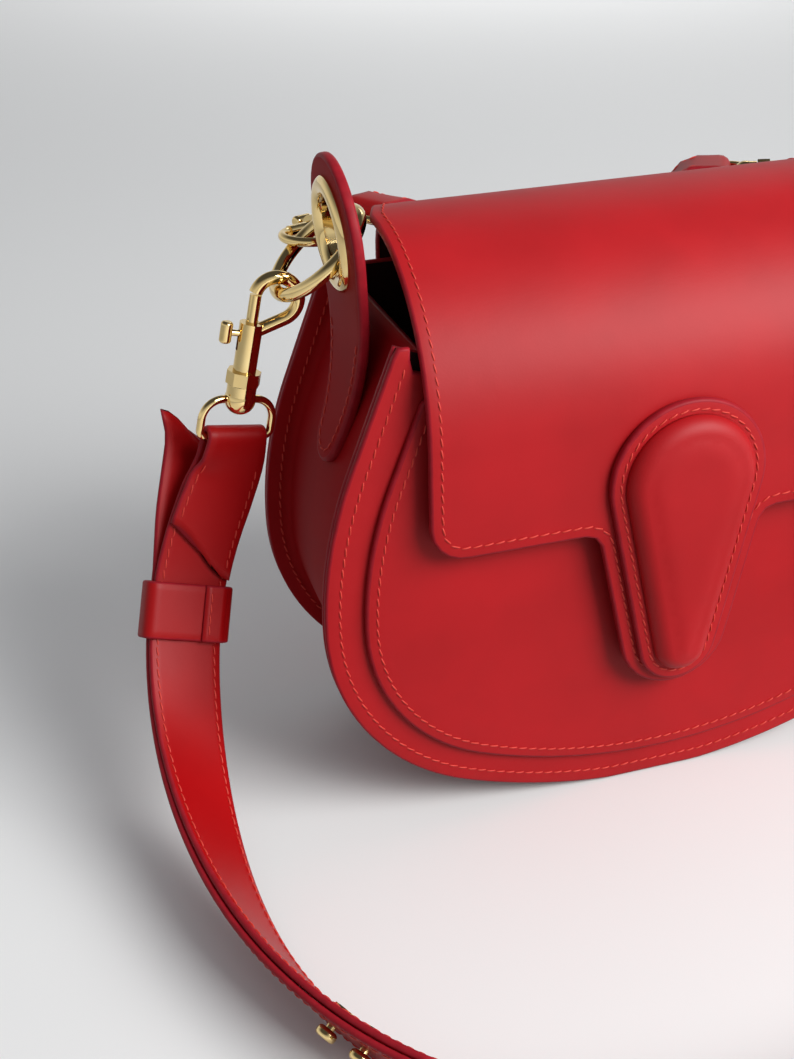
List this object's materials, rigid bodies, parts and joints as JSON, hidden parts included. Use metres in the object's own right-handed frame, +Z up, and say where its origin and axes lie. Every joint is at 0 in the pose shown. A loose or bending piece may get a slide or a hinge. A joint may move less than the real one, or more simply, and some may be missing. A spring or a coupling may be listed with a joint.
{
  "type": "saddle handbag",
  "caption": "Pear-shaped leather saddle handbag with an arched flap, padded teardrop tongue, side eyelets with rings, and a shoulder strap and a short handle on trigger snap hooks.",
  "frame": {"origin": "floor point under the middle of the body", "axes": "+Z up, -Y out through the flap, +X to the bag's left as worn, the viewer's right"},
  "size_m": [0.3597, 0.2984, 0.2298],
  "materials": {
    "red_leather": "satin grained calf with painted edges and orange-red thread",
    "lining_leather": "matt suede",
    "gold_hardware": "polished pale gold plate",
    "magnet_steel": "satin"
  },
  "bodies": {
    "bag": {"front_panel": "red_leather", "back_panel": "red_leather", "front_overlay": "red_leather", "gusset": "red_leather", "inner_pocket": "lining_leather", "flap_anchor": "red_leather", "body_magnet": "magnet_steel", "tab_left": "red_leather", "tab_right": "red_leather", "eyelet_left": "gold_hardware", "eyelet_right": "gold_hardware", "eyelet_washer_left": "gold_hardware", "eyelet_washer_right": "gold_hardware"},
    "flap": {"flap": "red_leather", "flap_lining": "lining_leather", "teardrop_base": "red_leather", "teardrop_pad": "red_leather", "tongue_magnet": "magnet_steel"},
    "ring_left": {"ring_left": "gold_hardware"},
    "ring_right": {"ring_right": "gold_hardware"},
    "strap": {"strap_short": "red_leather", "strap_long": "red_leather", "strap_studs": "gold_hardware", "strap_loop_left": "gold_hardware", "strap_loop_right": "gold_hardware"},
    "keeper": {"strap_keeper": "red_leather"},
    "handle": {"handle_strap": "red_leather", "handle_loop_left": "gold_hardware", "handle_loop_right": "gold_hardware"},
    "strap_hook_left": {"strap_hook_left": "gold_hardware"},
    "strap_plunger_left": {"strap_plunger_left": "gold_hardware"},
    "handle_hook_left": {"handle_hook_left": "gold_hardware"},
    "handle_plunger_left": {"handle_plunger_left": "gold_hardware"},
    "strap_hook_right": {"strap_hook_right": "gold_hardware"},
    "strap_plunger_right": {"strap_plunger_right": "gold_hardware"},
    "handle_hook_right": {"handle_hook_right": "gold_hardware"},
    "handle_plunger_right": {"handle_plunger_right": "gold_hardware"}
  },
  "joints": [
    {"name": "flap_open", "type": "hinge", "parent": "bag", "child": "flap", "pos_m": [0, 0.03755, 0.19642], "axis": [-1, 0, 0], "range_deg": [0, 95]},
    {"name": "strap_swing", "type": "hinge", "parent": "bag", "child": "strap", "pos_m": [0, 0.016, 0.18688], "axis": [-1, 0, 0], "range_deg": [0, 45]},
    {"name": "handle_swing", "type": "hinge", "parent": "bag", "child": "handle", "pos_m": [0, 0.03101, 0.19439], "axis": [1, 0, 0], "range_deg": [0, 25]},
    {"name": "keeper_slide", "type": "slide", "parent": "strap", "child": "keeper", "axis": [-0.2546, -0.433, -0.8647], "range_m": [-0.002, 0.001]},
    {"name": "ring_spin_left", "type": "hinge", "parent": "bag", "child": "ring_left", "pos_m": [-0.1031, 0.016, 0.1939], "axis": [0.6428, 0, -0.766], "continuous": true},
    {"name": "strap_swivel_left", "type": "hinge", "parent": "strap", "child": "strap_hook_left", "pos_m": [-0.12485, 0.016, 0.18118], "axis": [0.2233, 0, 0.9748], "range_deg": [-6, 2]},
    {"name": "strap_trigger_left", "type": "slide", "parent": "strap_hook_left", "child": "strap_plunger_left", "axis": [-0.2233, 0, -0.9748], "range_m": [0, 0.0045], "stiffness_N_per_m": 250, "springref_m": -0.004},
    {"name": "handle_swivel_left", "type": "hinge", "parent": "handle", "child": "handle_hook_left", "pos_m": [-0.10505, 0.04358, 0.1939], "axis": [-0.8648, -0.4993, 0.0523], "range_deg": [-2, 3]},
    {"name": "handle_trigger_left", "type": "slide", "parent": "handle_hook_left", "child": "handle_plunger_left", "axis": [0.8648, 0.4993, -0.0523], "range_m": [0, 0.0045], "stiffness_N_per_m": 250, "springref_m": -0.004},
    {"name": "ring_spin_right", "type": "hinge", "parent": "bag", "child": "ring_right", "pos_m": [0.1031, 0.016, 0.1939], "axis": [-0.6428, 0, -0.766], "continuous": true},
    {"name": "strap_swivel_right", "type": "hinge", "parent": "strap", "child": "strap_hook_right", "pos_m": [0.12485, 0.016, 0.18118], "axis": [0.2233, 0, -0.9748], "range_deg": [-6, 2]},
    {"name": "strap_trigger_right", "type": "slide", "parent": "strap_hook_right", "child": "strap_plunger_right", "axis": [0.2233, 0, -0.9748], "range_m": [0, 0.0045], "stiffness_N_per_m": 250, "springref_m": -0.004},
    {"name": "handle_swivel_right", "type": "hinge", "parent": "handle", "child": "handle_hook_right", "pos_m": [0.10505, 0.04358, 0.1939], "axis": [-0.8648, 0.4993, -0.0523], "range_deg": [-2, 3]},
    {"name": "handle_trigger_right", "type": "slide", "parent": "handle_hook_right", "child": "handle_plunger_right", "axis": [-0.8648, 0.4993, -0.0523], "range_m": [0, 0.0045], "stiffness_N_per_m": 250, "springref_m": -0.004}
  ]
}
